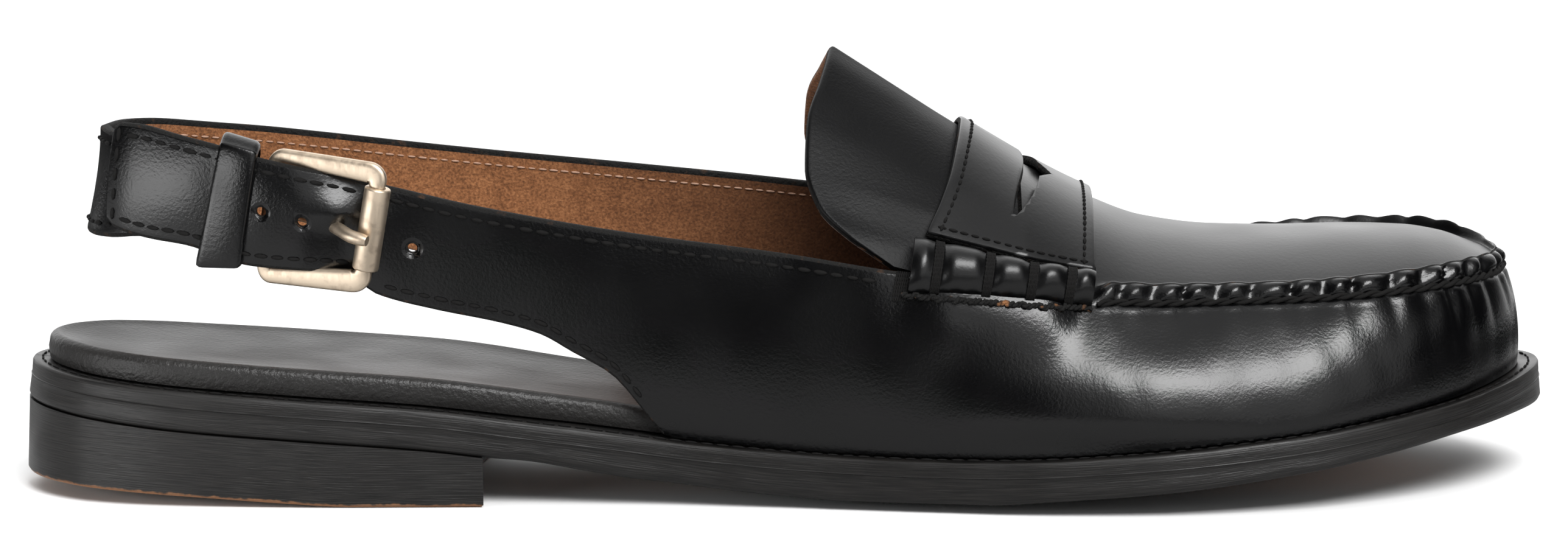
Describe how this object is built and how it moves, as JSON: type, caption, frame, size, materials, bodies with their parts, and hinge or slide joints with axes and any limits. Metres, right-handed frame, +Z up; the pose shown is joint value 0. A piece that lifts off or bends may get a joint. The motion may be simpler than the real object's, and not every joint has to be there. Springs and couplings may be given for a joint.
{
  "type": "slingback penny loafer",
  "caption": "Right-foot slingback penny loafer: polished leather vamp with raised apron seam, slotted saddle band and bound rolls, an open heel strap with roller buckle, and a low stacked heel.",
  "frame": {"origin": "on the floor plane, under the middle of the shoe's bounding box", "axes": "+X from heel to toe, +Y to the inner side of the foot, +Z up; the buckle is on the outer side, -Y"},
  "size_m": [0.29, 0.098, 0.0831],
  "materials": {
    "sole_leather": "inked and brushed edge",
    "midsole_leather": "inked edge",
    "heel_leather": "inked stacked leather",
    "footbed_leather": "fine-grained satin",
    "polished_leather": "brush-polished gloss",
    "buckle_nickel": "warm satin nickel"
  },
  "bodies": {
    "root": {"outsole": "sole_leather", "midsole": "midsole_leather", "heel": "heel_leather", "insole": "footbed_leather", "upper": "polished_leather", "tongue": "polished_leather", "saddle_strap": "polished_leather", "beef_roll_outer": "polished_leather", "beef_roll_inner": "polished_leather", "strap_keeper": "polished_leather", "buckle_frame": "buckle_nickel", "buckle_roller": "buckle_nickel", "buckle_prong": "buckle_nickel"}
  },
  "joints": []
}
